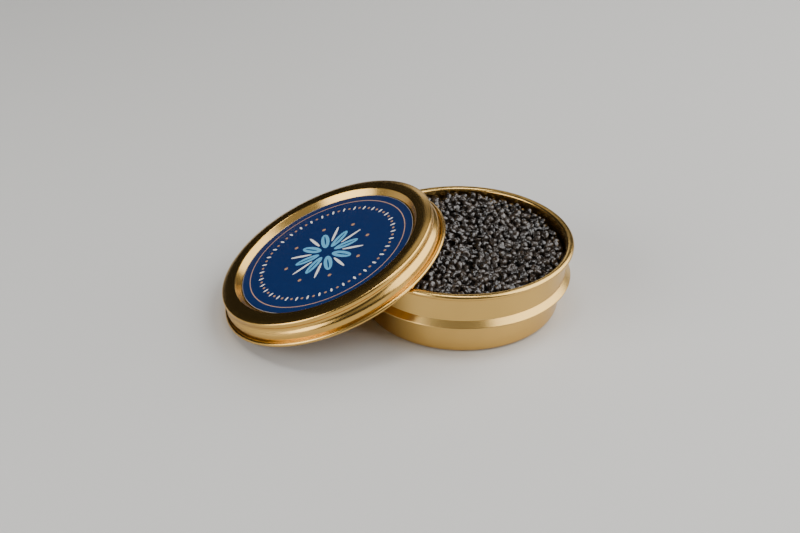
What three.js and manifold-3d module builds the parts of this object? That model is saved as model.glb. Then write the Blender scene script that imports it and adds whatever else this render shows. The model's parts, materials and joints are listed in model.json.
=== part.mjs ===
// A round slip-lid tin of caviar, open, with its lid leaning on the rim and the table.
// Millimetres, +Z up. The origin is the centre of the tin's flat underside.

import * as THREE from 'three';
import { mergeVertices } from 'three/addons/utils/BufferGeometryUtils.js';
import Module from 'manifold-3d';

const wasm = await Module();
wasm.setup();

// ---------------------------------------------------------------- driving dimensions

const sides = 48; // facets round every turned piece

const tin = {
  sheet: 0.4, // wall, a little thicker than real tinplate
  bodyRadius: 28.3, // outside of the lower body
  cornerRadius: 1.8, // round bottom corner
  bodyTop: 9.2, // where the body turns out into the stop band
  bandRadius: 31.5, // widest line of the stop band, which the closed lid meets
  bandHeight: 10.05,
  bandEdge: 0.45, // how far the band's edge rounds off below that line
  neckRadius: 30.0, // outside of the neck that the lid slips over
  neckFoot: 11.6, // where the band's sloping top meets the neck
  rimRadius: 32.0, // outside of the rolled rim
  rimHeight: 19.65, // middle of the rolled rim
  rimHalfWidth: 1.2,
  rimHalfDepth: 0.85,
};

const lid = {
  sheet: 0.28,
  panelRadius: 26.75, // flat recessed panel that carries the label
  panelTop: 4.7, // all lid heights are from the middle of its bottom curl
  crownInside: 28.0, // inner edge of the raised ring
  crownTop: 6.52,
  crownRadius: 32.42, // outside of the raised ring
  cornerRadius: 1.1, // the ring's round outer shoulder
  grooveRadius: 32.0, // bottom of the finger groove
  grooveTop: 4.4,
  grooveFoot: 3.65,
  skirtRadius: 32.9, // outside of the skirt below the groove
  skirtTop: 2.5, // where the flare under the groove meets the skirt
  curlRadius: 34.15, // outside of the bottom curl
  curlHalfWidth: 0.65,
  curlHalfDepth: 0.6,
  bend: 0.3, // reach of the sheet's small bends
};

const label = {
  radius: 26.3,
  thickness: 0.12,
  gap: 0.12, // clearance to the panel under it
};

const rest = {
  tilt: THREE.MathUtils.degToRad(22.6), // the lid's lean
  azimuth: THREE.MathUtils.degToRad(186.2), // the way it leans down
  clearance: 0.5, // between the lid's curl and the tin's rim
};

const roe = {
  clearance: 0.3, // to the tin's inside
  eggRadius: 1.3,
  rings: 10, // rings of eggs round the middle one
  pitch: 2.76, // from ring to ring
  level: 17.35, // middle of the eggs at the wall
  dome: 0.5, // how much higher they are in the middle
  slope: 0.35, // fall towards the back right, at the wall
  wave: 0.2, // gentle hollows in the surface
  unevenness: 0.3, // how far one egg may sit higher or lower
  drift: 0.3, // and how far aside
  spread: 0.06, // how much larger or smaller it may be, as a share
  shoulderOut: 0.74, // bend line of an egg's dome, in shares of the egg's radius
  shoulderUp: 0.68,
  valley: 0.4, // depth between eggs, below their middle
  bedTop: 15.9, // plain core under the eggs
  bedOverlap: 1, // how deep the sheet of eggs reaches into it
  looseEggs: 20, // eggs that stand up out of the surface
  looseRise: 1.1,
  looseDrift: 1,
  seed: 7,
};

// ---------------------------------------------------------------- helpers

// Points on an ellipse in a profile, from one angle to another in degrees.
function arc(centreRadius, centreHeight, halfWidth, halfDepth, from, to, steps) {
  const points = [];
  for (let i = 0; i <= steps; i++) {
    const angle = THREE.MathUtils.degToRad(from + ((to - from) * i) / steps);
    const radius = centreRadius + halfWidth * Math.cos(angle);
    points.push([radius, centreHeight + halfDepth * Math.sin(angle)]);
  }
  return points;
}

// Turns a profile of [radius, height] points round Z.
function turned(profile) {
  const points = profile.map(([radius, height]) => new THREE.Vector2(Math.max(radius, 0), height));
  return new THREE.LatheGeometry(points, sides).rotateX(Math.PI / 2);
}

function mesh(name, geometry, color, roughness, metalness) {
  const material = new THREE.MeshStandardMaterial({ color, roughness, metalness });
  const made = new THREE.Mesh(geometry, material);
  made.name = name;
  return made;
}

// A small seeded generator, so that the heap is the same every time.
function seeded(seed) {
  let state = seed >>> 0;
  return () => {
    state = (state + 0x6d2b79f5) >>> 0;
    let mixed = Math.imul(state ^ (state >>> 15), 1 | state);
    mixed = (mixed + Math.imul(mixed ^ (mixed >>> 7), 61 | mixed)) ^ mixed;
    return ((mixed ^ (mixed >>> 14)) >>> 0) / 4294967296;
  };
}

// A closed three.js geometry as a solid that can be joined.
function solidOf(geometry) {
  const bare = geometry.clone();
  for (const extra of ['normal', 'uv']) bare.deleteAttribute(extra);
  const merged = mergeVertices(bare);
  const vertProperties = merged.attributes.position.array;
  const triVerts = new Uint32Array(merged.index.array);
  return new wasm.Manifold(new wasm.Mesh({ numProp: 3, vertProperties, triVerts }));
}

function geometryOf(solid) {
  const { vertProperties, triVerts, numProp } = solid.getMesh();
  const geometry = new THREE.BufferGeometry();
  const positions = new Float32Array((vertProperties.length / numProp) * 3);
  for (let i = 0; i < positions.length / 3; i++) {
    for (let k = 0; k < 3; k++) positions[3 * i + k] = vertProperties[numProp * i + k];
  }
  geometry.setAttribute('position', new THREE.BufferAttribute(positions, 3));
  geometry.setIndex(new THREE.BufferAttribute(new Uint32Array(triVerts), 1));
  geometry.computeVertexNormals();
  return geometry;
}

// ---------------------------------------------------------------- the tin

const rimMiddle = tin.rimRadius - tin.rimHalfWidth;
const neckInside = rimMiddle - tin.rimHalfWidth;
const bodyInside = tin.bodyRadius - tin.sheet;
const footRadius = tin.bodyRadius - tin.cornerRadius;

// One drawn sheet: flat bottom, body, folded stop band, neck and outward-rolled rim.
function tinProfile() {
  const band = [
    [tin.bodyRadius, tin.bodyTop],
    [tin.bandRadius - tin.bandEdge, tin.bandHeight - tin.bandEdge],
    [tin.bandRadius, tin.bandHeight],
    [tin.neckRadius, tin.neckFoot],
  ];
  return [
    [0, 0],
    ...arc(footRadius, tin.cornerRadius, tin.cornerRadius, tin.cornerRadius, -90, 0, 4),
    ...band,
    ...arc(rimMiddle, tin.rimHeight, tin.rimHalfWidth, tin.rimHalfDepth, -132, 180, 9),
    [neckInside, tin.neckFoot - tin.sheet],
    [bodyInside, tin.bodyTop - tin.sheet / 2],
    ...arc(footRadius, tin.cornerRadius, tin.cornerRadius - tin.sheet,
      tin.cornerRadius - tin.sheet, 0, -90, 3),
    [0, tin.sheet],
  ];
}

// ---------------------------------------------------------------- the lid

const curlMiddle = lid.curlRadius - lid.curlHalfWidth;
const cornerMiddle = lid.crownRadius - lid.cornerRadius;
const crownSpring = lid.crownTop - lid.cornerRadius;

// Outside from the panel's middle to the curl, then back inside at the sheet's thickness.
function lidProfile() {
  const inner = lid.sheet;
  const slack = inner / 3; // keeps the slanting flare as thick as the rest
  const curlTop = lid.curlHalfDepth + lid.bend;
  const recess = [
    [0, lid.panelTop],
    [lid.panelRadius, lid.panelTop],
    [lid.panelRadius + lid.bend, lid.panelTop + lid.bend / 2],
    [lid.crownInside - lid.bend / 2, lid.crownTop - lid.bend],
    [lid.crownInside + lid.bend, lid.crownTop],
  ];
  const skirt = [
    [lid.grooveRadius, lid.grooveTop],
    [lid.grooveRadius, lid.grooveFoot],
    [lid.skirtRadius, lid.skirtTop],
    [lid.skirtRadius, curlTop],
  ];
  const inside = [
    [lid.skirtRadius - inner, curlTop],
    [lid.skirtRadius - inner, lid.skirtTop - slack],
    [lid.grooveRadius - inner, lid.grooveFoot - slack],
    [lid.grooveRadius - inner, lid.grooveTop],
    ...arc(cornerMiddle, crownSpring, lid.cornerRadius - inner, lid.cornerRadius - inner, 0, 90, 2),
    [lid.crownInside + lid.bend, lid.crownTop - inner],
    [lid.crownInside - lid.bend / 2 + inner, lid.crownTop - lid.bend - inner],
    [lid.panelRadius + lid.bend + inner, lid.panelTop + lid.bend / 2 - inner],
    [lid.panelRadius, lid.panelTop - inner],
    [0, lid.panelTop - inner],
  ];
  return [
    ...recess,
    ...arc(cornerMiddle, crownSpring, lid.cornerRadius, lid.cornerRadius, 90, 0, 3),
    ...skirt,
    ...arc(curlMiddle, 0, lid.curlHalfWidth, lid.curlHalfDepth, 110, -180, 7),
    ...inside,
  ].reverse();
}

function labelProfile() {
  const under = lid.panelTop + label.gap;
  const top = under + label.thickness;
  return [[0, under], [label.radius, under], [label.radius, top], [0, top]];
}

// The leaning lid touches the table with the low side of its curl, and its curl lies across
// the tin's rim at two points. This finds the middle of the lid's curl for the given tilt.
function lidPlace() {
  const rimLine = tin.rimRadius - tin.rimHalfWidth;
  const sin = Math.sin(rest.tilt);
  const cos = Math.cos(rest.tilt);
  const height = curlMiddle * sin + Math.hypot(lid.curlHalfWidth * sin, lid.curlHalfDepth * cos);
  let slant = 1; // how much the crossing curls' slant adds to their distance in height
  let reach = 0;
  for (let pass = 0; pass < 30; pass++) {
    const crossing = tin.rimHeight
      + (lid.curlHalfDepth + tin.rimHalfDepth + rest.clearance) * slant;
    const upSlope = (crossing - height) / sin;
    const aside = Math.sqrt(curlMiddle ** 2 - upSlope ** 2);
    const along = Math.sqrt(rimLine ** 2 - aside ** 2);
    reach = along + upSlope * cos;
    const rimWay = new THREE.Vector3(-aside, along, 0);
    const curlWay = new THREE.Vector3(aside * cos, upSlope, -aside * sin);
    const normal = rimWay.cross(curlWay);
    slant = normal.length() / Math.abs(normal.z);
  }
  return { reach, height };
}

// ---------------------------------------------------------------- the caviar

const coreRadius = neckInside - roe.clearance;
const random = seeded(roe.seed);
const either = (reach) => reach * (2 * random() - 1);

// Height of the eggs' middles: a low dome that falls to one side, with gentle hollows.
function eggLevel(x, y) {
  const out = Math.hypot(x, y) / coreRadius;
  const backRight = (x * Math.cos(0.6) + y * Math.sin(0.6)) / coreRadius;
  const waves = Math.sin(x / 5.2 + 0.7) * Math.cos(y / 4.6) + 0.6 * Math.sin((x + y) / 3.7);
  return roe.level + roe.dome * (1 - out * out) - roe.slope * backRight + roe.wave * waves;
}

// A point of a honeycomb, in steps between its cells, bent so that its hexagons become circles.
function onDisc(across, up) {
  const sixth = Math.PI / 3;
  const angle = Math.atan2(up, across);
  const sector = Math.floor(angle / sixth);
  const first = Math.sin(sixth - (angle - sector * sixth));
  const second = Math.sin(angle - sector * sixth);
  const ring = (Math.hypot(across, up) * (first + second)) / Math.sin(sixth);
  const turn = sixth * (sector + second / (first + second));
  const radius = Math.min(ring * roe.pitch, coreRadius - 0.1);
  return [radius * Math.cos(turn), radius * Math.sin(turn)];
}

// The packed roe below the eggs that show.
function bedGeometry() {
  const bottom = tin.sheet + roe.clearance;
  const bodyRadius = bodyInside - roe.clearance;
  const corner = tin.cornerRadius - roe.clearance;
  return turned([
    [0, bottom],
    [bodyRadius - corner, bottom],
    [bodyRadius, bottom + corner],
    [bodyRadius, tin.bodyTop - tin.sheet / 2],
    [coreRadius, tin.neckFoot - tin.sheet / 2],
    [coreRadius, roe.bedTop],
    [0, roe.bedTop],
  ]);
}

// One sheet of eggs, side by side: each cell of the honeycomb holds a six-sided dome.
function eggSheetGeometry() {
  const positions = [];
  const faces = [];
  const corners = new Map();
  const edges = new Map();
  const addPoint = (x, y, z) => positions.push(x, y, z) / 3 - 1;

  function corner(across, up) {
    const key = `${Math.round(across * 12)},${Math.round(up * 12)}`;
    if (!corners.has(key)) {
      const [x, y] = onDisc(across, up);
      corners.set(key, addPoint(x, y, eggLevel(x, y) - roe.valley));
    }
    return corners.get(key);
  }

  function addEgg(across, up) {
    const [x, y] = onDisc(across, up).map((value) => value + either(roe.drift));
    const z = eggLevel(x, y) + either(roe.unevenness);
    const size = roe.eggRadius * (1 + either(roe.spread));
    const top = addPoint(x, y, z + size);
    const foot = [];
    const shoulder = [];
    for (let i = 0; i < 6; i++) {
      const angle = ((i + 0.5) * Math.PI) / 3;
      foot.push(corner(across + Math.cos(angle) / Math.sqrt(3), up + Math.sin(angle) / Math.sqrt(3)));
      const [footX, footY] = positions.slice(3 * foot[i], 3 * foot[i] + 2);
      const away = Math.atan2(footY - y, footX - x);
      const shoulderX = x + roe.shoulderOut * size * Math.cos(away);
      const shoulderY = y + roe.shoulderOut * size * Math.sin(away);
      shoulder.push(addPoint(shoulderX, shoulderY, z + roe.shoulderUp * size));
    }
    for (let i = 0; i < 6; i++) {
      const next = (i + 1) % 6;
      faces.push([top, shoulder[i], shoulder[next]]);
      faces.push([shoulder[i], foot[i], foot[next]]);
      faces.push([shoulder[i], foot[next], shoulder[next]]);
      edges.set(`${foot[i]},${foot[next]}`, [foot[i], foot[next]]);
    }
  }

  for (let row = -roe.rings; row <= roe.rings; row++) {
    const first = Math.max(-roe.rings, -row - roe.rings);
    const last = Math.min(roe.rings, -row + roe.rings);
    for (let step = first; step <= last; step++) {
      addEgg(step + row / 2, (row * Math.sqrt(3)) / 2);
    }
  }

  // An edge that only one cell has is the sheet's rim: it gets a side down into the bed.
  const under = roe.bedTop - roe.bedOverlap;
  const middle = addPoint(0, 0, under);
  const below = new Map();
  const lowered = (point) => {
    if (!below.has(point)) below.set(point, addPoint(positions[3 * point], positions[3 * point + 1], under));
    return below.get(point);
  };
  for (const [from, to] of edges.values()) {
    if (edges.has(`${to},${from}`)) continue;
    faces.push([to, from, lowered(from)], [to, lowered(from), lowered(to)]);
    faces.push([middle, lowered(to), lowered(from)]);
  }

  const geometry = new THREE.BufferGeometry();
  geometry.setAttribute('position', new THREE.Float32BufferAttribute(positions, 3));
  geometry.setIndex(faces.flat());
  return geometry;
}

// Eggs lying in the hollows of the sheet, spread on a sunflower spiral, each turned its own way.
function looseEggGeometries() {
  const outermost = coreRadius - 2 * roe.eggRadius;
  const goldenAngle = Math.PI * (3 - Math.sqrt(5));
  const eggs = [];
  for (let i = 0; i < roe.looseEggs; i++) {
    const out = outermost * Math.sqrt((i + 0.5) / roe.looseEggs);
    const x = out * Math.cos(i * goldenAngle) + either(roe.looseDrift);
    const y = out * Math.sin(i * goldenAngle) + either(roe.looseDrift);
    const turn = new THREE.Euler(either(Math.PI), either(Math.PI), either(Math.PI));
    const egg = new THREE.IcosahedronGeometry(roe.eggRadius * (1 + roe.spread), 0);
    egg.applyMatrix4(new THREE.Matrix4().makeRotationFromEuler(turn));
    egg.translate(x, y, eggLevel(x, y) + roe.looseRise + either(roe.unevenness));
    eggs.push(egg);
  }
  return eggs;
}

function caviarGeometry() {
  let heap = solidOf(bedGeometry()).add(solidOf(eggSheetGeometry()));
  for (const egg of looseEggGeometries()) heap = heap.add(solidOf(egg));
  return geometryOf(heap);
}

// ---------------------------------------------------------------- the scene

const part = new THREE.Group();
part.add(mesh('tin', turned(tinProfile()), 0xc9a25e, 0.28, 1));
part.add(mesh('caviar', caviarGeometry(), 0x23211f, 0.25, 0));

const place = lidPlace();
const heading = new THREE.Group();
heading.rotation.z = rest.azimuth;
const leaning = new THREE.Group();
leaning.position.set(place.reach, 0, place.height);
leaning.rotation.y = rest.tilt;
leaning.add(mesh('lid', turned(lidProfile()), 0xc39a52, 0.28, 1));
leaning.add(mesh('label', turned(labelProfile()), 0x1d4585, 0.45, 0));
heading.add(leaning);
part.add(heading);

export default part;
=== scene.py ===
import json
import math

import bmesh
import bpy
import numpy as np
from mathutils import Matrix, Vector

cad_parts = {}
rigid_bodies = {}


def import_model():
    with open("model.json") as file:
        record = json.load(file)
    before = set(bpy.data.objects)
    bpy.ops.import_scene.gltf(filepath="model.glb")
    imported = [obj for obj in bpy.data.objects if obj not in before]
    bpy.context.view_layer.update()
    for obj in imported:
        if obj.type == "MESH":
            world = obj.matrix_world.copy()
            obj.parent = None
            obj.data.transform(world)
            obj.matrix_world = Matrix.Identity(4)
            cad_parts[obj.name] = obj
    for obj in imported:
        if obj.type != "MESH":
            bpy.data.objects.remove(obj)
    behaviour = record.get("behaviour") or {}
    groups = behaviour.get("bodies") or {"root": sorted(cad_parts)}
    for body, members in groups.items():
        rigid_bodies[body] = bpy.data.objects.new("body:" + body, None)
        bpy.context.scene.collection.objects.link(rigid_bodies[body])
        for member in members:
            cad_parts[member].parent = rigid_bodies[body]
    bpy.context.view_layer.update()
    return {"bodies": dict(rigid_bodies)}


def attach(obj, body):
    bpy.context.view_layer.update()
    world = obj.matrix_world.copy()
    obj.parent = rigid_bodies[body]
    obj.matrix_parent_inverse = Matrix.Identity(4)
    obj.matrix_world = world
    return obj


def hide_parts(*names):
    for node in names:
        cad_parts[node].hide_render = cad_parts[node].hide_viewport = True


# An open, round slip-lid tin of caviar, with its lid leaning on the rim and the table.

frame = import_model()
ROOT = next(iter(frame["bodies"]))

MM = 0.001

# ---------------------------------------------------------------- sizes, in millimetres
# A radius named bend is that of the middle of the sheet.

TIN = dict(
    sheet=0.22,
    body_radius=28.3,  # outside of the lower body
    corner_radius=1.8,  # outside of the round bottom corner
    body_top=9.2,  # where the body turns out into the stop band
    body_bend=0.4,
    band_radius=31.5,  # widest line of the stop band, which the closed lid meets
    band_height=10.05,
    band_edge_foot=0.35,  # the band's upright edge runs from this far below that line
    band_edge_top=0.05,  # to this far
    band_foot_bend=0.2,
    band_top_bend=0.12,  # both bends of the band's sloping top
    neck_radius=30.0,  # outside of the neck that the lid slips over
    neck_foot=11.6,  # where the band's sloping top meets the neck
    rim_radius=32.0,  # outside of the rolled rim
    rim_height=19.65,  # middle of the rolled rim
    rim_half_width=1.11,
    rim_half_depth=0.85,
    rim_spring=0.1,  # how far below its middle the roll leaves the neck
    rim_roll=(180, -140),  # degrees round the roll, from the neck over the top
)
LID = dict(
    sheet=0.22,
    panel_radius=26.75,  # flat sunk panel that carries the label
    panel_top=4.7,  # all lid heights are from the middle of its bottom curl
    panel_bend=0.3,
    crown_inside=28.0,  # inner edge of the crown, the raised ring
    crown_inside_bend=0.35,
    crown_top=6.52,
    crown_level_to=30.6,  # from here the crown falls a little towards its outer bend
    crown_level_bend=5.0,
    crown_fall=0.45,
    crown_radius=32.42,  # outside of the crown
    crown_bend=0.5,
    groove_lip=0.45,  # height of the slope that leads into the finger groove
    groove_lip_bend=0.35,
    groove_radius=32.0,  # bottom of the finger groove
    groove_top=4.4,
    groove_foot=3.65,
    groove_bend=0.3,
    flare_bend=1.5,  # both bends of the S-shaped flare under the groove
    skirt_radius=32.9,  # outside of the skirt below the flare
    skirt_top=2.5,
    skirt_bend=0.3,
    curl_radius=34.15,  # outside of the bottom curl
    curl_half_width=0.65,
    curl_half_depth=0.6,
    curl_spring=0.12,  # how far above its middle the roll leaves the skirt
    curl_roll=(180, 490),  # degrees round the roll, from the skirt under the curl
)
LABEL = dict(
    radius=26.3,
    thickness=0.12,
    gap=0.12,  # to the panel under it
    bare_edge=0.08,  # unprinted paper at the cut
    ring_radius=23.9,
    ring_half_width=0.13,
)
# The printed ovals, ring by ring: how many, how far out their middles stand, their half length
# outwards, their half width, the share of a step that the ring is turned back by, and the ink.
OVALS = (
    (8, 6.0, 3.7, 1.3, 0.0, "#5fa9cf"),
    (8, 6.4, 2.4, 0.24, 0.0, "#0a2b5a"),
    (8, 8.4, 3.4, 0.42, 0.5, "#e9e7e0"),
    (8, 12.6, 0.55, 0.55, 0.0, "#b08663"),
    (36, 20.4, 0.8, 0.3, 0.0, "#e9e7e0"),
    (36, 20.4, 0.4, 0.4, 0.5, "#b08663"),
)
LEAN = dict(
    tilt=math.radians(22.6),
    azimuth=math.radians(186.2),  # the way the lid leans down
    clearance=0.5,  # between the lid's curl and the tin's rim
    rim_half_width=1.2,  # of the rim that it clears, a little stouter than the one drawn
)
ROE = dict(
    egg_radius=1.3,
    smallest=(0.86, 0.86, 0.7),  # an egg's least size each way, in shares of that
    largest=(1.16, 1.16, 1.1),
    dent_depth=2.4,  # from the deepest dent to the highest bump that the noise could give
    dent_width=1.5,
    inset=0.25,  # further gap that keeps the outermost eggs off the wall
    level=17.6,  # middle of the top eggs at the wall
    dome=0.5,  # how much higher they are in the middle
    back_rise=0.6,  # and how much at the back
    wave=0.2,  # gentle hollows in the surface
    unevenness=0.35,  # how far one egg may sit higher or lower
    layers=((470, 0.0, 3), (440, 1.3, 5)),  # each layer's eggs, how far down, and seed
    height_seed=11,
    egg_seed=4,
)
# One egg's outline in shares of its radius: the dimple in its crown, its rings, each as out and
# up, and its foot.
EGG = dict(
    crown=0.26,
    rings=((0.42, 0.42), (0.78, 0.60), (1.0, 0.14), (0.93, -0.36), (0.5, -0.76)),
    foot=-0.84,
    facets=12,
)
# The core below the eggs that show.
BED = dict(
    wall=0.4,  # the tin's wall and bottom, as the core leaves room for them
    clearance=0.3,  # to that wall and bottom
    corner_bend=1.5,
    sink=0.2,  # how far its steps lie below the tin's own
    step_bend=0.2,
    top=16.6,  # at the wall
    top_bend=0.4,
    rise=0.4,  # how much higher it is in the middle
    crest_bend=1.0,
)
BED_RADIUS = TIN["neck_radius"] - BED["wall"] - BED["clearance"]

ROUND = 192  # facets round a turned piece
BED_ROUND = 96  # and round the core, which the eggs hide
SHARP_BEND = math.radians(50)  # an edge with a sharper turn than this isn't smoothed

# ---------------------------------------------------------------- camera and lights

# The camera that the photograph's outlines give, in millimetres, radians and pixels.
PHOTO_WIDTH = 800
SENSOR_WIDTH = 36
CAMERA_AIM = Vector((-17.5, 17.8, 0.0))
CAMERA_DISTANCE = 420.0
CAMERA_PITCH = 0.542
CAMERA_FOCAL_PIXELS = 1385.4

# Name, azimuth and elevation in degrees, and distance, width and height in metres. Azimuth 0 is
# on the right (+X) and 90 behind. The last number is the brightness that a mirror would show.
LIGHT_AIM = Vector((-0.02, 0, 0.01))
SOFTBOXES = (
    ("back softbox", 88, 22, 0.60, 0.24, 0.12, 1.2),
    ("upper back softbox", 102, 50, 0.70, 0.22, 0.25, 0.7),
    ("overhead softbox", -90, 86, 0.70, 0.30, 0.18, 8),
    ("front softbox", -92, 50, 0.70, 0.46, 0.26, 0.35),
    ("front left softbox", 212, 24, 0.70, 0.60, 0.44, 5),
    ("right softbox", 3, 39, 0.70, 1.12, 0.80, 3.6),
)
ROOM_COLOUR = "#8f9194"
ROOM_STRENGTH = 0.06
FLOOR_HALF_SIDE = 3.0  # metres


# ---------------------------------------------------------------- profiles

def rounded(corners, steps=6):
    """A path through (radius, height, bend radius) corners, each bend drawn as an arc."""
    path = []
    for i, (r, z, bend) in enumerate(corners):
        here = Vector((r, z))
        if bend == 0 or i in (0, len(corners) - 1):
            path.append(here)
            continue
        back = (Vector(corners[i - 1][:2]) - here).normalized()
        on = (Vector(corners[i + 1][:2]) - here).normalized()
        half = back.angle(on) / 2
        reach = bend / math.tan(half)
        middle = here + (back + on).normalized() * (bend / math.sin(half))
        start = here + back * reach - middle
        end = here + on * reach - middle
        sweep = start.angle_signed(end)
        for k in range(steps + 1):
            turn = Matrix.Rotation(-sweep * k / steps, 2)
            path.append(middle + turn @ start)
    return path


def curl(r, z, half_width, half_depth, start, end, steps=28):
    """Part of an ellipse, from one angle in degrees to another, as a rolled sheet edge has."""
    path = []
    for k in range(steps + 1):
        angle = math.radians(start + (end - start) * k / steps)
        path.append(Vector((r + half_width * math.cos(angle), z + half_depth * math.sin(angle))))
    return path


def sheet_loop(path, thickness):
    """Both faces of a sheet that follows a path from the axis to its edge, as one closed loop."""
    left, right = [], []
    for i, point in enumerate(path):
        before = path[max(i - 1, 0)]
        after = path[min(i + 1, len(path) - 1)]
        along = (after - before).normalized()
        if i == 0:
            along = Vector((1, 0))
        aside = Vector((-along.y, along.x)) * thickness / 2
        left.append(point + aside)
        right.append(point - aside)
    return left + right[::-1]


def turned(name, loop, place=Matrix.Identity(4), segments=ROUND):
    """Turns a closed loop, which starts and ends on the axis, into a solid. Its plan UV is in
    millimetres."""
    verts, faces = [], []
    rows = []
    for point in loop:
        if abs(point.x) < 1e-6:
            verts.append((0, 0, point.y))
            rows.append([len(verts) - 1] * segments)
            continue
        row = []
        for k in range(segments):
            angle = 2 * math.pi * k / segments
            verts.append((point.x * math.cos(angle), point.x * math.sin(angle), point.y))
            row.append(len(verts) - 1)
        rows.append(row)
    for low, high in zip(rows, rows[1:]):
        for k in range(segments):
            n = (k + 1) % segments
            corners = [low[k], low[n], high[n], high[k]]
            face = list(dict.fromkeys(corners))
            if len(face) > 2:
                faces.append(face)
    mesh = bpy.data.meshes.new(name)
    mesh.from_pydata(verts, [], faces)
    work = bmesh.new()
    work.from_mesh(mesh)
    bmesh.ops.recalc_face_normals(work, faces=work.faces)
    work.to_mesh(mesh)
    work.free()
    plan = mesh.uv_layers.new(name="plan")
    for loop_data, uv in zip(mesh.loops, plan.data):
        uv.uv = mesh.vertices[loop_data.vertex_index].co.xy
    mesh.transform(Matrix.Scale(MM, 4) @ place)
    mesh.shade_smooth()
    mesh.set_sharp_from_angle(angle=SHARP_BEND)
    piece = bpy.data.objects.new(name, mesh)
    bpy.context.scene.collection.objects.link(piece)
    return piece


# ---------------------------------------------------------------- materials

def linear(hex_colour):
    """An sRGB hex colour as linear RGBA."""
    parts = [int(hex_colour[i:i + 2], 16) / 255 for i in (1, 3, 5)]
    return [p / 12.92 if p < 0.04045 else ((p + 0.055) / 1.055) ** 2.4 for p in parts] + [1.0]


def material(name):
    """A new material, its node tree and its main shader."""
    made = bpy.data.materials.new(name)
    made.use_nodes = True
    return made, made.node_tree, made.node_tree.nodes["Principled BSDF"]


def add(tree, kind, settings=None, **inputs):
    """Adds a node. Each input, by name or as i and its number, gets a value or a link."""
    node = tree.nodes.new(kind)
    for key, value in (settings or {}).items():
        setattr(node, key, value)
    for key, value in inputs.items():
        socket = node.inputs[int(key[1:])] if key[1:].isdigit() else node.inputs[key]
        if isinstance(value, bpy.types.NodeSocket):
            tree.links.new(value, socket)
        else:
            socket.default_value = value
    return node


def gold_lacquer(name, colour, roughness=0.25):
    """Gold-lacquered tinplate, drawn and rolled: a warm satin metal, whose film of lacquer is a
    little deeper and duller in some places than in others."""
    made, tree, shader = material(name)
    link = tree.links.new
    # The marks of the tools are hundredths of a millimetre wide, too fine to show but as roughness.
    blotch = 7.14 * MM
    deeper = 0.93
    unevenness = 0.015
    place = add(tree, "ShaderNodeTexCoord").outputs["Object"]
    cloud = add(tree, "ShaderNodeTexNoise", Vector=place, Scale=1 / blotch, Detail=3.0)
    tint = add(tree, "ShaderNodeMix", {"data_type": "RGBA"}, i0=cloud.outputs["Fac"],
               i6=linear(colour), i7=[c * deeper for c in linear(colour)[:3]] + [1.0])
    link(tint.outputs[2], shader.inputs["Base Color"])
    # The noise mostly stays between 0.3 and 0.7.
    rough = add(tree, "ShaderNodeMapRange", i0=cloud.outputs["Fac"], i1=0.3, i2=0.7,
                i3=roughness - unevenness, i4=roughness + unevenness)
    link(rough.outputs[0], shader.inputs["Roughness"])
    shader.inputs["Metallic"].default_value = 1.0
    return made


def wet_roe(name):
    """Salted sturgeon roe: nearly black skins, slack and creased, under a film of brine, so each
    egg breaks the light into small hard glints."""
    made, tree, shader = material(name)
    link = tree.links.new
    crease_spacing = 1.053 * MM
    crease_depth = 0.35 * MM
    place = add(tree, "ShaderNodeTexCoord").outputs["Object"]
    tone = add(tree, "ShaderNodeAttribute", {"attribute_name": "egg_tone"})
    tint = add(tree, "ShaderNodeMix", {"data_type": "RGBA"}, i0=tone.outputs["Fac"],
               i6=linear("#17120e"), i7=linear("#3c3229"))
    link(tint.outputs[2], shader.inputs["Base Color"])
    crease = add(tree, "ShaderNodeTexNoise", {"noise_type": "RIDGED_MULTIFRACTAL"}, Vector=place,
                 Scale=1 / crease_spacing, Detail=1.0)
    bump = add(tree, "ShaderNodeBump", Strength=1.0, Distance=crease_depth,
               Height=crease.outputs["Fac"])
    link(bump.outputs[0], shader.inputs["Normal"])
    link(bump.outputs[0], shader.inputs["Coat Normal"])
    shader.inputs["Roughness"].default_value = 0.25
    shader.inputs["IOR"].default_value = 1.4
    shader.inputs["Coat Weight"].default_value = 0.85
    shader.inputs["Coat Roughness"].default_value = 0.02
    return made


def wet_bed(name):
    """The brine and pressed roe between the eggs: black and wet."""
    made, tree, shader = material(name)
    link = tree.links.new
    lump_spacing = 1.43 * MM
    lump_depth = 0.4 * MM
    place = add(tree, "ShaderNodeTexCoord").outputs["Object"]
    cloud = add(tree, "ShaderNodeTexNoise", Vector=place, Scale=1 / lump_spacing, Detail=2.0)
    tint = add(tree, "ShaderNodeMix", {"data_type": "RGBA"}, i0=cloud.outputs["Fac"],
               i6=linear("#0b0908"), i7=linear("#1d1a17"))
    link(tint.outputs[2], shader.inputs["Base Color"])
    bump = add(tree, "ShaderNodeBump", Strength=0.5, Distance=lump_depth,
               Height=cloud.outputs["Fac"])
    link(bump.outputs[0], shader.inputs["Normal"])
    shader.inputs["Roughness"].default_value = 0.25
    return made


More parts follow.
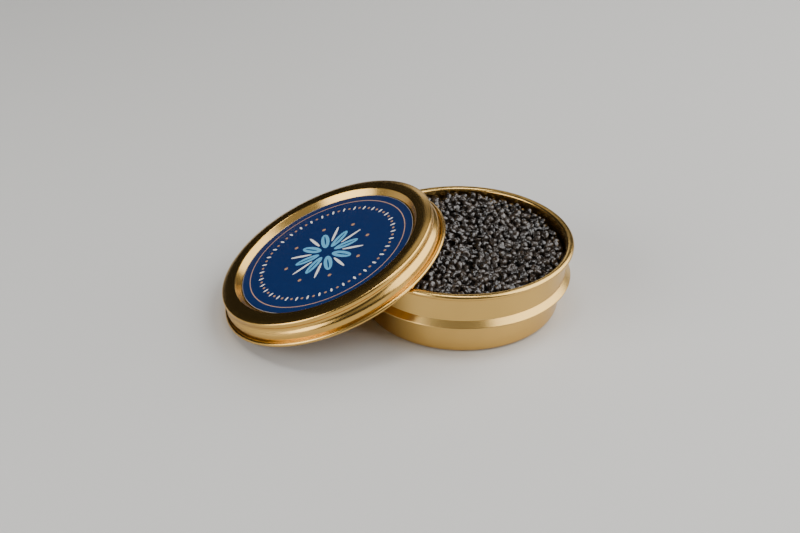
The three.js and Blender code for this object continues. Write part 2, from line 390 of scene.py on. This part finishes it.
def ring_of_ovals(tree, plan, count, middle, half_length, half_width, turn):
    """Mask of equal ovals in a ring. The plan is turned so that the nearest oval lies on its X
    axis, and then moved and scaled so that this oval is the unit circle."""
    step = 2 * math.pi / count
    parts = add(tree, "ShaderNodeSeparateXYZ", i0=plan)
    angle = add(tree, "ShaderNodeMath", {"operation": "ARCTAN2"}, i0=parts.outputs[1],
                i1=parts.outputs[0])
    ahead = add(tree, "ShaderNodeMath", {"operation": "ADD"}, i0=angle.outputs[0],
                i1=(turn + 0.5) * step)
    nearest = add(tree, "ShaderNodeMath", {"operation": "SNAP"}, i0=ahead.outputs[0], i1=step)
    back = add(tree, "ShaderNodeMath", {"operation": "SUBTRACT"}, i0=turn * step,
               i1=nearest.outputs[0])
    on_axis = add(tree, "ShaderNodeVectorRotate", {"rotation_type": "Z_AXIS"}, Vector=plan,
                  Angle=back.outputs[0])
    moved = add(tree, "ShaderNodeVectorMath", {"operation": "SUBTRACT"}, i0=on_axis.outputs[0],
                i1=(middle, 0, 0))
    scaled = add(tree, "ShaderNodeVectorMath", {"operation": "DIVIDE"}, i0=moved.outputs[0],
                 i1=(half_length, half_width, 1))
    away = add(tree, "ShaderNodeVectorMath", {"operation": "LENGTH"}, i0=scaled.outputs[0])
    inside = add(tree, "ShaderNodeMath", {"operation": "LESS_THAN"}, i0=away.outputs["Value"],
                 i1=1.0)
    return inside.outputs[0]


def printed_label(name):
    """Satin coated paper, offset printed and cut round, with its bare edge showing: a deep blue
    field, a fine copper ring, and a plain rosette with rings of small ovals in light blue, white
    and copper."""
    made, tree, shader = material(name)
    link = tree.links.new
    # The plan is in millimetres, and so are the patterns on it, but a bump's depth is in metres.
    # The paper's grain has its real size, and only softens its sheen.
    mottle = 2.86
    grain_spacing = 0.111
    grain_depth = 0.01 * MM
    plan = add(tree, "ShaderNodeUVMap", {"uv_map": "plan"}).outputs["UV"]
    radius = add(tree, "ShaderNodeVectorMath", {"operation": "LENGTH"}, i0=plan).outputs["Value"]
    cloud = add(tree, "ShaderNodeTexNoise", Vector=plan, Scale=1 / mottle, Detail=4.0)
    grain = add(tree, "ShaderNodeTexNoise", Vector=plan, Scale=1 / grain_spacing, Detail=2.0)
    blue = add(tree, "ShaderNodeMix", {"data_type": "RGBA"}, i0=cloud.outputs["Fac"],
               i6=linear("#08204e"), i7=linear("#0b2758"))
    edge = add(tree, "ShaderNodeMath", {"operation": "GREATER_THAN"}, i0=radius,
               i1=LABEL["radius"] - LABEL["bare_edge"])
    off_ring = add(tree, "ShaderNodeMath", {"operation": "SUBTRACT"}, i0=radius,
                   i1=LABEL["ring_radius"])
    off_ring = add(tree, "ShaderNodeMath", {"operation": "ABSOLUTE"}, i0=off_ring.outputs[0])
    ring = add(tree, "ShaderNodeMath", {"operation": "LESS_THAN"}, i0=off_ring.outputs[0],
               i1=LABEL["ring_half_width"])
    inks = [(edge.outputs[0], "#b9b7b2"), (ring.outputs[0], "#b88f74")]
    for *sizes, ink in OVALS:
        inks.append((ring_of_ovals(tree, plan, *sizes), ink))
    colour = blue.outputs[2]
    for mask, ink in inks:
        colour = add(tree, "ShaderNodeMix", {"data_type": "RGBA"}, i0=mask, i6=colour,
                     i7=linear(ink)).outputs[2]
    link(colour, shader.inputs["Base Color"])
    bump = add(tree, "ShaderNodeBump", Strength=0.15, Distance=grain_depth,
               Height=grain.outputs["Fac"])
    link(bump.outputs[0], shader.inputs["Normal"])
    shader.inputs["Roughness"].default_value = 0.42
    return made


def matte_floor(name):
    """Pale seamless paper, hardly uneven in tone."""
    made, tree, shader = material(name)
    link = tree.links.new
    patch = 333 * MM
    place = add(tree, "ShaderNodeTexCoord").outputs["Object"]
    cloud = add(tree, "ShaderNodeTexNoise", Vector=place, Scale=1 / patch)
    tint = add(tree, "ShaderNodeMix", {"data_type": "RGBA"}, i0=cloud.outputs["Fac"],
               i6=linear("#cbc9c5"), i7=linear("#d1d0cc"))
    link(tint.outputs[2], shader.inputs["Base Color"])
    shader.inputs["Roughness"].default_value = 0.6
    return made


# ---------------------------------------------------------------- the tin

def tin_path():
    """From the middle of the bottom, up the body, out round the stop band, in over its sloping
    top, up the neck and over the rolled rim."""
    half = TIN["sheet"] / 2
    body = TIN["body_radius"] - half
    band = TIN["band_radius"] - half
    neck = TIN["neck_radius"] - half
    path = rounded([
        (0, half, 0),
        (body, half, TIN["corner_radius"] - half),
        (body, TIN["body_top"], TIN["body_bend"]),
        (band, TIN["band_height"] - TIN["band_edge_foot"], TIN["band_foot_bend"]),
        (band, TIN["band_height"] - TIN["band_edge_top"], TIN["band_top_bend"]),
        (neck, TIN["neck_foot"], TIN["band_top_bend"]),
        (neck, TIN["rim_height"] - TIN["rim_spring"], 0),
    ])
    rim_middle = TIN["rim_radius"] - TIN["rim_half_width"]
    return path + curl(rim_middle, TIN["rim_height"], TIN["rim_half_width"] - half,
                       TIN["rim_half_depth"] - half, *TIN["rim_roll"])


# ---------------------------------------------------------------- the lid

def lid_path():
    """From the middle of the sunk panel, up to the crown, which falls a little towards its tight
    outer bend, in at the finger groove, out along the flare and round the curl."""
    half = LID["sheet"] / 2
    panel = LID["panel_top"] - half
    top = LID["crown_top"] - half
    crown = LID["crown_radius"] - half
    groove = LID["groove_radius"] - half
    skirt = LID["skirt_radius"] - half
    curl_middle = LID["curl_radius"] - LID["curl_half_width"]
    path = rounded([
        (0, panel, 0),
        (LID["panel_radius"], panel, LID["panel_bend"]),
        (LID["crown_inside"], top, LID["crown_inside_bend"]),
        (LID["crown_level_to"], top, LID["crown_level_bend"]),
        (crown, top - LID["crown_fall"], LID["crown_bend"]),
        (crown, LID["groove_top"] + LID["groove_lip"], LID["groove_lip_bend"]),
        (groove, LID["groove_top"], LID["groove_bend"]),
        (groove, LID["groove_foot"], LID["flare_bend"]),
        (skirt, LID["skirt_top"], LID["flare_bend"]),
        (skirt, LID["curl_half_depth"], LID["skirt_bend"]),
        (curl_middle - LID["curl_half_width"] + half, LID["curl_spring"], 0),
    ])
    return path + curl(curl_middle, 0, LID["curl_half_width"] - half,
                       LID["curl_half_depth"] - half, *LID["curl_roll"])


def lid_place():
    """The low side of the lid's curl stands on the table, and the curl crosses the tin's rim. The
    two rolls cross on a slant, which widens their spacing and is found round by round."""
    curl_line = LID["curl_radius"] - LID["curl_half_width"]
    rim_line = TIN["rim_radius"] - LEAN["rim_half_width"]
    sin, cos = math.sin(LEAN["tilt"]), math.cos(LEAN["tilt"])
    foot = math.hypot(LID["curl_half_width"] * sin, LID["curl_half_depth"] * cos)
    height = curl_line * sin + foot
    spacing = LID["curl_half_depth"] + TIN["rim_half_depth"] + LEAN["clearance"]
    slant = 1.0
    for _ in range(30):
        up_slope = (TIN["rim_height"] + spacing * slant - height) / sin
        aside = math.sqrt(curl_line ** 2 - up_slope ** 2)
        along = math.sqrt(rim_line ** 2 - aside ** 2)
        normal = Vector((-aside, along, 0)).cross(Vector((aside * cos, up_slope, -aside * sin)))
        slant = normal.length / abs(normal.z)
    heading = Matrix.Rotation(LEAN["azimuth"], 4, "Z")
    return (heading @ Matrix.Translation((along + up_slope * cos, 0, height))
            @ Matrix.Rotation(LEAN["tilt"], 4, "Y"))


def label_loop():
    """The paper disc's outline, from its underside's middle to its upper side's."""
    low = LID["panel_top"] + LABEL["gap"]
    high = low + LABEL["thickness"]
    edge = LABEL["radius"]
    return [Vector(p) for p in ((0, low), (edge, low), (edge, high), (0, high))]


# ---------------------------------------------------------------- the caviar

def egg_level(x, y):
    """Height of the top eggs' middles: a low dome that rises towards the back, with gentle hollows
    23 to 33 mm apart."""
    out = np.hypot(x, y) / BED_RADIUS
    back = y / BED_RADIUS
    waves = np.sin(x / 5.2 + 0.7) * np.cos(y / 4.6) + 0.6 * np.sin((x + y) / 3.7)
    return (ROE["level"] + ROE["dome"] * (1 - out * out) + ROE["back_rise"] * back
            + ROE["wave"] * waves)


def packed_disc(count, radius, seed, passes=120, give=0.3):
    """Points pushed apart in a disc until they lie like packed grains. Each pass takes a share of
    every overlap away."""
    random = np.random.default_rng(seed)
    angle = random.uniform(0, 2 * math.pi, count)
    out = radius * np.sqrt(random.uniform(0, 1, count))
    points = np.stack([out * np.cos(angle), out * np.sin(angle)], 1)
    spacing = 1.9 * radius / math.sqrt(count)  # just under that of the closest packing
    far_from_itself = np.eye(count) * 99
    for _ in range(passes):
        apart = points[:, None] - points[None]
        gap = np.hypot(apart[..., 0], apart[..., 1]) + far_from_itself
        push = np.clip(spacing - gap, 0, None) / gap
        points = points + give * (apart * push[..., None]).sum(1)
        far = np.hypot(points[:, 0], points[:, 1])
        points *= np.minimum(1, radius / np.maximum(far, 1e-6))[:, None]
    return points


def egg_points():
    """Middles of the eggs: a packed top layer and the one that shows between its eggs."""
    random = np.random.default_rng(ROE["height_seed"])
    reach = BED_RADIUS - ROE["egg_radius"] - ROE["inset"]
    layers = []
    for count, drop, seed in ROE["layers"]:
        xy = packed_disc(count, reach, seed)
        z = egg_level(xy[:, 0], xy[:, 1]) - drop
        z += random.uniform(-1, 1, count) * ROE["unevenness"]
        layers.append(np.column_stack([xy, z]))
    return np.vstack(layers)


def egg_shape():
    """One egg, gone slack: a squat ball with a dimple in its crown."""
    wide = ROE["egg_radius"]
    rings = EGG["rings"]
    around = EGG["facets"]
    verts = [(0, 0, EGG["crown"] * wide)]
    for out, high in rings:
        for k in range(around):
            angle = 2 * math.pi * (k + 0.5) / around
            verts.append((out * wide * math.cos(angle), out * wide * math.sin(angle), high * wide))
    verts.append((0, 0, EGG["foot"] * wide))
    faces = []
    for k in range(around):
        n = (k + 1) % around
        faces.append((0, 1 + k, 1 + n))
        for ring in range(len(rings) - 1):
            low = 1 + ring * around
            faces.append((low + k, low + around + k, low + around + n, low + n))
        last = 1 + (len(rings) - 1) * around
        faces.append((len(verts) - 1, last + n, last + k))
    mesh = bpy.data.meshes.new("egg")
    mesh.from_pydata([[c * MM for c in v] for v in verts], [], faces)
    return bpy.data.objects.new("egg", mesh)


def egg_tree():
    """Geometry Nodes: an egg on every point, each with its own turn, proportions, dents and
    tone."""
    tree = bpy.data.node_groups.new("eggs on points", "GeometryNodeTree")
    sockets = tree.interface
    sockets.new_socket("Geometry", in_out="INPUT", socket_type="NodeSocketGeometry")
    inputs = {"Egg": "NodeSocketObject", "Smallest": "NodeSocketVector",
              "Largest": "NodeSocketVector", "Dent Depth": "NodeSocketFloat",
              "Dent Width": "NodeSocketFloat", "Seed": "NodeSocketInt",
              "Material": "NodeSocketMaterial"}
    for name, kind in inputs.items():
        sockets.new_socket(name, in_out="INPUT", socket_type=kind)
    sockets.new_socket("Geometry", in_out="OUTPUT", socket_type="NodeSocketGeometry")

    given = add(tree, "NodeGroupInput")
    egg = add(tree, "GeometryNodeObjectInfo", Object=given.outputs["Egg"])
    seeds = [add(tree, "ShaderNodeMath", {"operation": "ADD"}, i0=given.outputs["Seed"],
                 i1=float(k)) for k in range(3)]
    turn = add(tree, "FunctionNodeRandomValue", {"data_type": "FLOAT_VECTOR"}, i0=(0, 0, 0),
               i1=(2 * math.pi,) * 3, Seed=seeds[0].outputs[0])
    size = add(tree, "FunctionNodeRandomValue", {"data_type": "FLOAT_VECTOR"},
               i0=given.outputs["Smallest"], i1=given.outputs["Largest"],
               Seed=seeds[1].outputs[0])
    tone = add(tree, "FunctionNodeRandomValue", Seed=seeds[2].outputs[0])
    toned = add(tree, "GeometryNodeStoreNamedAttribute", {"data_type": "FLOAT", "domain": "POINT"},
                Geometry=given.outputs["Geometry"], Name="egg_tone", Value=tone.outputs[1])
    placed = add(tree, "GeometryNodeInstanceOnPoints", Points=toned.outputs[0],
                 Instance=egg.outputs["Geometry"], Rotation=turn.outputs[0], Scale=size.outputs[0])
    real = add(tree, "GeometryNodeRealizeInstances", Geometry=placed.outputs[0])

    # An egg's tone also says where its dents cut through the noise, so neighbours differ.
    tone_reach = 40.0
    noise_middle = 0.52
    place = add(tree, "GeometryNodeInputPosition")
    own_tone = add(tree, "GeometryNodeInputNamedAttribute", {"data_type": "FLOAT"},
                   Name="egg_tone")
    own_place = add(tree, "ShaderNodeMath", {"operation": "MULTIPLY"}, i0=own_tone.outputs[0],
                    i1=tone_reach)
    spread = add(tree, "ShaderNodeMath", {"operation": "DIVIDE"}, i0=1.0,
                 i1=given.outputs["Dent Width"])
    cloud = add(tree, "ShaderNodeTexNoise", {"noise_dimensions": "4D"}, Vector=place.outputs[0],
                W=own_place.outputs[0], Scale=spread.outputs[0], Detail=0.0)
    lift = add(tree, "ShaderNodeMath", {"operation": "SUBTRACT"}, i0=cloud.outputs["Fac"],
               i1=noise_middle)
    lift = add(tree, "ShaderNodeMath", {"operation": "MULTIPLY"}, i0=lift.outputs[0],
               i1=given.outputs["Dent Depth"])
    normal = add(tree, "GeometryNodeInputNormal")
    push = add(tree, "ShaderNodeVectorMath", {"operation": "SCALE"}, i0=normal.outputs[0],
               Scale=lift.outputs[0])
    dented = add(tree, "GeometryNodeSetPosition", Geometry=real.outputs[0],
                 Offset=push.outputs[0])
    smooth = add(tree, "GeometryNodeSetShadeSmooth", Geometry=dented.outputs[0])
    coloured = add(tree, "GeometryNodeSetMaterial", Geometry=smooth.outputs[0],
                   Material=given.outputs["Material"])
    add(tree, "NodeGroupOutput", Geometry=coloured.outputs[0])
    return tree


def grown(name, mesh, tree, values):
    """Runs a Geometry Nodes tree on a mesh and keeps the result as a plain mesh."""
    seed = bpy.data.objects.new(name + "_points", mesh)
    bpy.context.scene.collection.objects.link(seed)
    modifier = seed.modifiers.new("nodes", "NODES")
    modifier.node_group = tree
    for item in tree.interface.items_tree:
        if item.in_out == "INPUT" and item.name in values:
            modifier[item.identifier] = values[item.name]
    graph = bpy.context.evaluated_depsgraph_get()
    result = bpy.data.meshes.new_from_object(seed.evaluated_get(graph))
    seed.modifiers.remove(modifier)
    bpy.data.objects.remove(seed)
    result.name = name
    piece = bpy.data.objects.new(name, result)
    bpy.context.scene.collection.objects.link(piece)
    return piece


def caviar_eggs(roe_material):
    """The eggs that show, all in one mesh."""
    points = bpy.data.meshes.new("egg middles")
    points.from_pydata([tuple(p * MM) for p in egg_points()], [], [])
    values = {"Egg": egg_shape(), "Smallest": ROE["smallest"], "Largest": ROE["largest"],
              "Dent Depth": ROE["dent_depth"] * MM, "Dent Width": ROE["dent_width"] * MM,
              "Seed": ROE["egg_seed"], "Material": roe_material}
    return grown("caviar_eggs", points, egg_tree(), values)


def caviar_core():
    """The roe under the eggs that show, up to a plain surface just below them."""
    low = BED["wall"] + BED["clearance"]
    body = TIN["body_radius"] - BED["wall"] - BED["clearance"]
    body_top = TIN["body_top"] - BED["sink"]
    neck_foot = TIN["neck_foot"] - BED["sink"]
    path = rounded([
        (0, low, 0),
        (body, low, BED["corner_bend"]),
        (body, body_top, BED["step_bend"]),
        (BED_RADIUS, neck_foot, BED["step_bend"]),
        (BED_RADIUS, BED["top"], BED["top_bend"]),
        (BED_RADIUS / 2, BED["top"] + BED["rise"] / 2, BED["crest_bend"]),
        (0, BED["top"] + BED["rise"], 0),
    ])
    return turned("caviar_core", path, segments=BED_ROUND)


# ---------------------------------------------------------------- building

def dress(piece, node, finish=None):
    """Gives a piece its material, when one is given, puts it on the root body and hides the CAD
    part that it stands in for.
    """
    if finish is not None:
        piece.data.materials.clear()
        piece.data.materials.append(finish)
    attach(piece, ROOT)
    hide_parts(node)


def build():
    leaning = lid_place()
    tin = turned("tin_shell", sheet_loop(tin_path(), TIN["sheet"]))
    lid = turned("lid_shell", sheet_loop(lid_path(), LID["sheet"]), leaning)
    label = turned("lid_label", label_loop(), leaning)
    roe = wet_roe("wet sturgeon roe")
    dress(tin, "tin", gold_lacquer("gold-lacquered tinplate", "#deb568"))
    dress(lid, "lid", gold_lacquer("gold-lacquered tinplate lid", "#dcb060"))
    dress(label, "label", printed_label("offset-printed coated paper"))
    dress(caviar_core(), "caviar", wet_bed("brine and pressed roe"))
    dress(caviar_eggs(roe), "caviar")


def softbox(name, azimuth, elevation, away, width, height, brightness):
    """An even rectangular light that faces the tin."""
    lamp = bpy.data.lights.new(name, "AREA")
    lamp.shape = "RECTANGLE"
    lamp.size, lamp.size_y = width, height
    lamp.energy = brightness * math.pi * width * height
    turn, rise = math.radians(azimuth), math.radians(elevation)
    level = math.cos(rise)
    out = Vector((math.cos(turn) * level, math.sin(turn) * level, math.sin(rise)))
    made = bpy.data.objects.new(name, lamp)
    made.location = LIGHT_AIM + out * away
    made.rotation_euler = out.to_track_quat("Z", "Y").to_euler()
    bpy.context.scene.collection.objects.link(made)


def studio():
    """The floor, the softboxes and a dim, even room."""
    mesh = bpy.data.meshes.new("floor")
    side = FLOOR_HALF_SIDE
    corners = [(-side, -side, 0), (side, -side, 0), (side, side, 0), (-side, side, 0)]
    mesh.from_pydata(corners, [], [(0, 1, 2, 3)])
    floor = bpy.data.objects.new("floor", mesh)
    bpy.context.scene.collection.objects.link(floor)
    mesh.materials.append(matte_floor("pale seamless paper"))
    for box in SOFTBOXES:
        softbox(*box)
    world = bpy.data.worlds.new("studio")
    bpy.context.scene.world = world
    world.use_nodes = True
    room = world.node_tree.nodes["Background"]
    room.inputs["Color"].default_value = linear(ROOM_COLOUR)
    room.inputs["Strength"].default_value = ROOM_STRENGTH


def camera():
    """An unrolled camera that looks along +Y, and down by its pitch."""
    data = bpy.data.cameras.new("camera")
    data.sensor_width = SENSOR_WIDTH
    data.lens = CAMERA_FOCAL_PIXELS * data.sensor_width / PHOTO_WIDTH
    data.clip_start = 0.01
    made = bpy.data.objects.new("camera", data)
    ahead = Vector((0, math.cos(CAMERA_PITCH), -math.sin(CAMERA_PITCH)))
    made.location = (CAMERA_AIM - ahead * CAMERA_DISTANCE) * MM
    made.rotation_euler = (math.pi / 2 - CAMERA_PITCH, 0, 0)
    bpy.context.scene.collection.objects.link(made)
    bpy.context.scene.camera = made


camera()
build()
studio()
